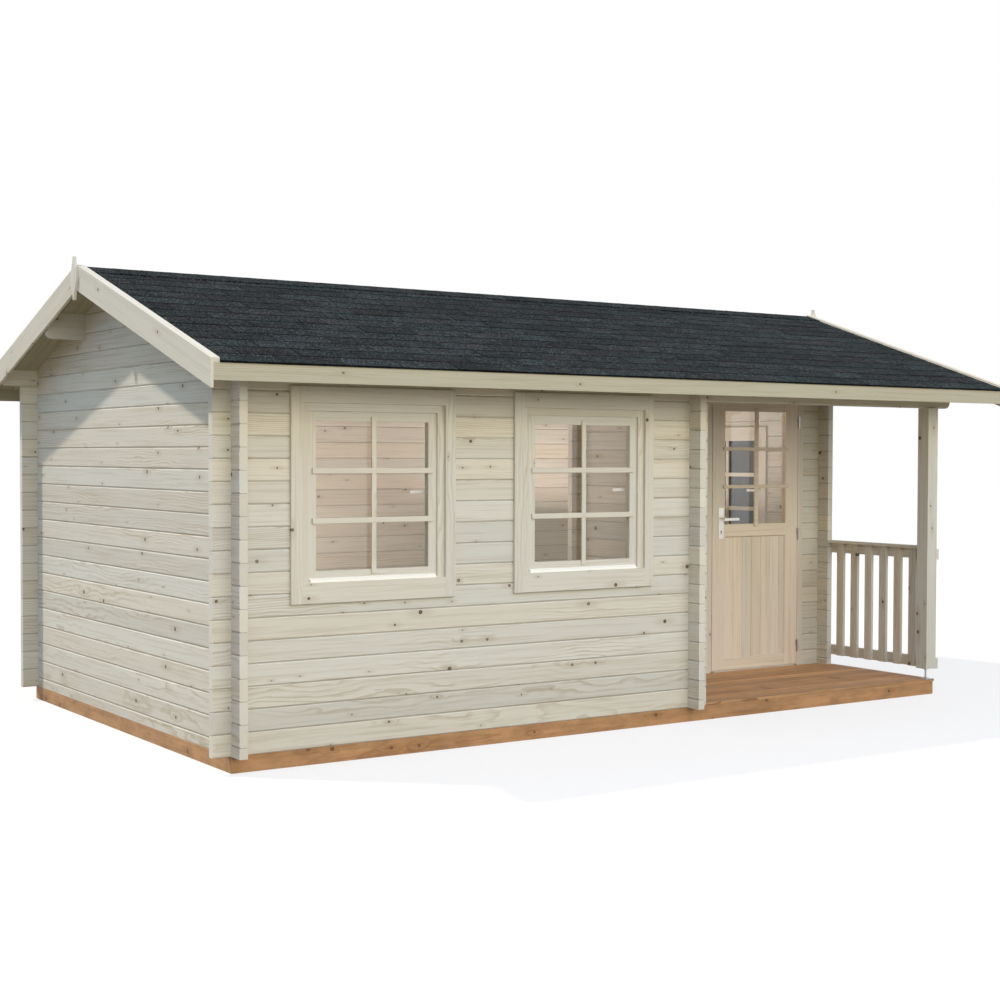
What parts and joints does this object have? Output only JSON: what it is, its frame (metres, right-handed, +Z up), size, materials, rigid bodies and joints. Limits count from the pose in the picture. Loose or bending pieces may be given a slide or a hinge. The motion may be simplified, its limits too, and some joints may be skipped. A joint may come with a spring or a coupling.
{
  "type": "log guest cabin",
  "caption": "Small log cabin with cross corners, a shingled saddle roof, barred windows, a hinged half-glazed door with a lever, and a covered corner terrace with post and railing.",
  "frame": {"origin": "middle of the cabin's plan box at ground level", "axes": "+X along the ridge to the terrace end, +Y from the front to the rear, +Z up"},
  "size_m": [5.726, 3.692, 2.6917],
  "materials": {
    "spruce": "planed, untreated",
    "door_pine": "planed, untreated",
    "treated_wood": "brown pressure treated",
    "shingle": "slate-coloured mineral granules on bitumen",
    "glass": "clear",
    "steel": "satin"
  },
  "bodies": {
    "cabin": {"front_wall": "spruce", "rear_wall": "spruce", "left_gable_wall": "spruce", "right_gable_wall": "spruce", "right_gable_top": "spruce", "terrace_side_wall": "spruce", "door_wall_left": "spruce", "door_wall_right": "spruce", "door_wall_top": "spruce", "front_beam": "spruce", "rear_top_log": "spruce", "roof_purlins": "spruce", "roof_boards_front": "spruce", "roof_boards_rear": "spruce", "eave_fascias": "spruce", "left_barge_boards": "spruce", "right_barge_boards": "spruce", "edge_caps": "spruce", "gable_finials": "spruce", "terrace_post": "spruce", "railing_rails": "spruce", "railing_balusters": "spruce", "railing_cap": "spruce", "window_casings": "spruce", "window_frames": "spruce", "window_sashes": "spruce", "base_front_beam": "treated_wood", "base_rear_beam": "treated_wood", "base_left_beam": "treated_wood", "base_right_beam": "treated_wood", "floor_joists": "treated_wood", "terrace_deck": "treated_wood", "room_floor": "spruce", "shingles_front": "shingle", "shingles_rear": "shingle", "ridge_shingles": "shingle", "window_panes": "glass", "post_foot": "steel", "hinge_pins": "steel", "door_frame": "door_pine"},
    "door": {"door_leaf": "door_pine", "door_panel": "door_pine", "door_pane": "glass", "hinge_knuckles": "steel", "lock_plates": "steel"},
    "lever": {"lever_handle": "steel"}
  },
  "joints": [
    {"name": "door_hinge", "type": "hinge", "parent": "cabin", "child": "door", "pos_m": [2.239, -0.498, 1], "axis": [0, 0, 1], "range_deg": [0, 100]},
    {"name": "lever_turn", "type": "hinge", "parent": "door", "child": "lever", "pos_m": [1.517, -0.488, 1.153], "axis": [0, 1, 0], "range_deg": [0, 40], "stiffness_Nm_per_rad": 1.2, "springref_deg": -8.59}
  ]
}
